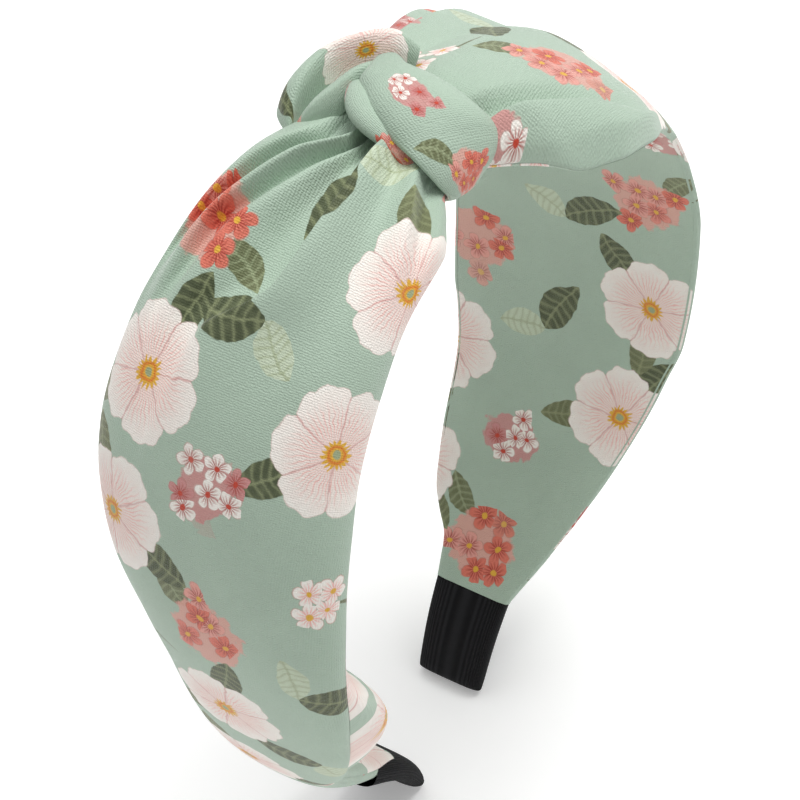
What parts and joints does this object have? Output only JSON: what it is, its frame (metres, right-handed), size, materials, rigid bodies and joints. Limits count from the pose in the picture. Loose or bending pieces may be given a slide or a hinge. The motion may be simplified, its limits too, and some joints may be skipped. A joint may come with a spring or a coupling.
{
  "type": "knotted headband",
  "caption": "Wide knotted headband: a sprung plastic hoop with gathered print cloth covers, a twisted cloth knot on the crown, a flat cloth lining and ribbed ribbon sleeves on the tips.",
  "frame": {"origin": "under the middle of the band, at the height of the two tips it stands on", "axes": "+Z from the tips to the knot, -Y to the wearer's front, left leg at -X"},
  "size_m": [0.1254, 0.0518, 0.1777],
  "materials": {
    "hoop_plastic": "matte white, hidden under the cloth",
    "cover_cloth": "sage crepe satin with a floral print, soft sheen",
    "knot_cloth": "the same sage print cloth, folded",
    "lining_cloth": "the same print cloth, laid flat",
    "ribbon": "black fine-ribbed ribbon, matte"
  },
  "bodies": {
    "crown": {"hoop_crown": "hoop_plastic", "lining_crown": "lining_cloth", "gather_left": "cover_cloth", "gather_right": "cover_cloth", "knot_wrap": "knot_cloth", "knot_loop": "knot_cloth"},
    "left_leg": {"hoop_leg_left": "hoop_plastic", "cover_left": "cover_cloth", "lining_left": "lining_cloth", "ribbon_tip_left": "ribbon"},
    "right_leg": {"hoop_leg_right": "hoop_plastic", "cover_right": "cover_cloth", "lining_right": "lining_cloth", "ribbon_tip_right": "ribbon"}
  },
  "joints": [
    {"name": "left_flex", "type": "hinge", "parent": "crown", "child": "left_leg", "pos_m": [-0.03219, 0, 0.15384], "axis": [0, 1, 0], "range_deg": [-3, 14], "stiffness_Nm_per_rad": 1.6},
    {"name": "right_flex", "type": "hinge", "parent": "crown", "child": "right_leg", "pos_m": [0.03219, 0, 0.15384], "axis": [0, -1, 0], "range_deg": [-3, 14], "stiffness_Nm_per_rad": 1.6}
  ]
}
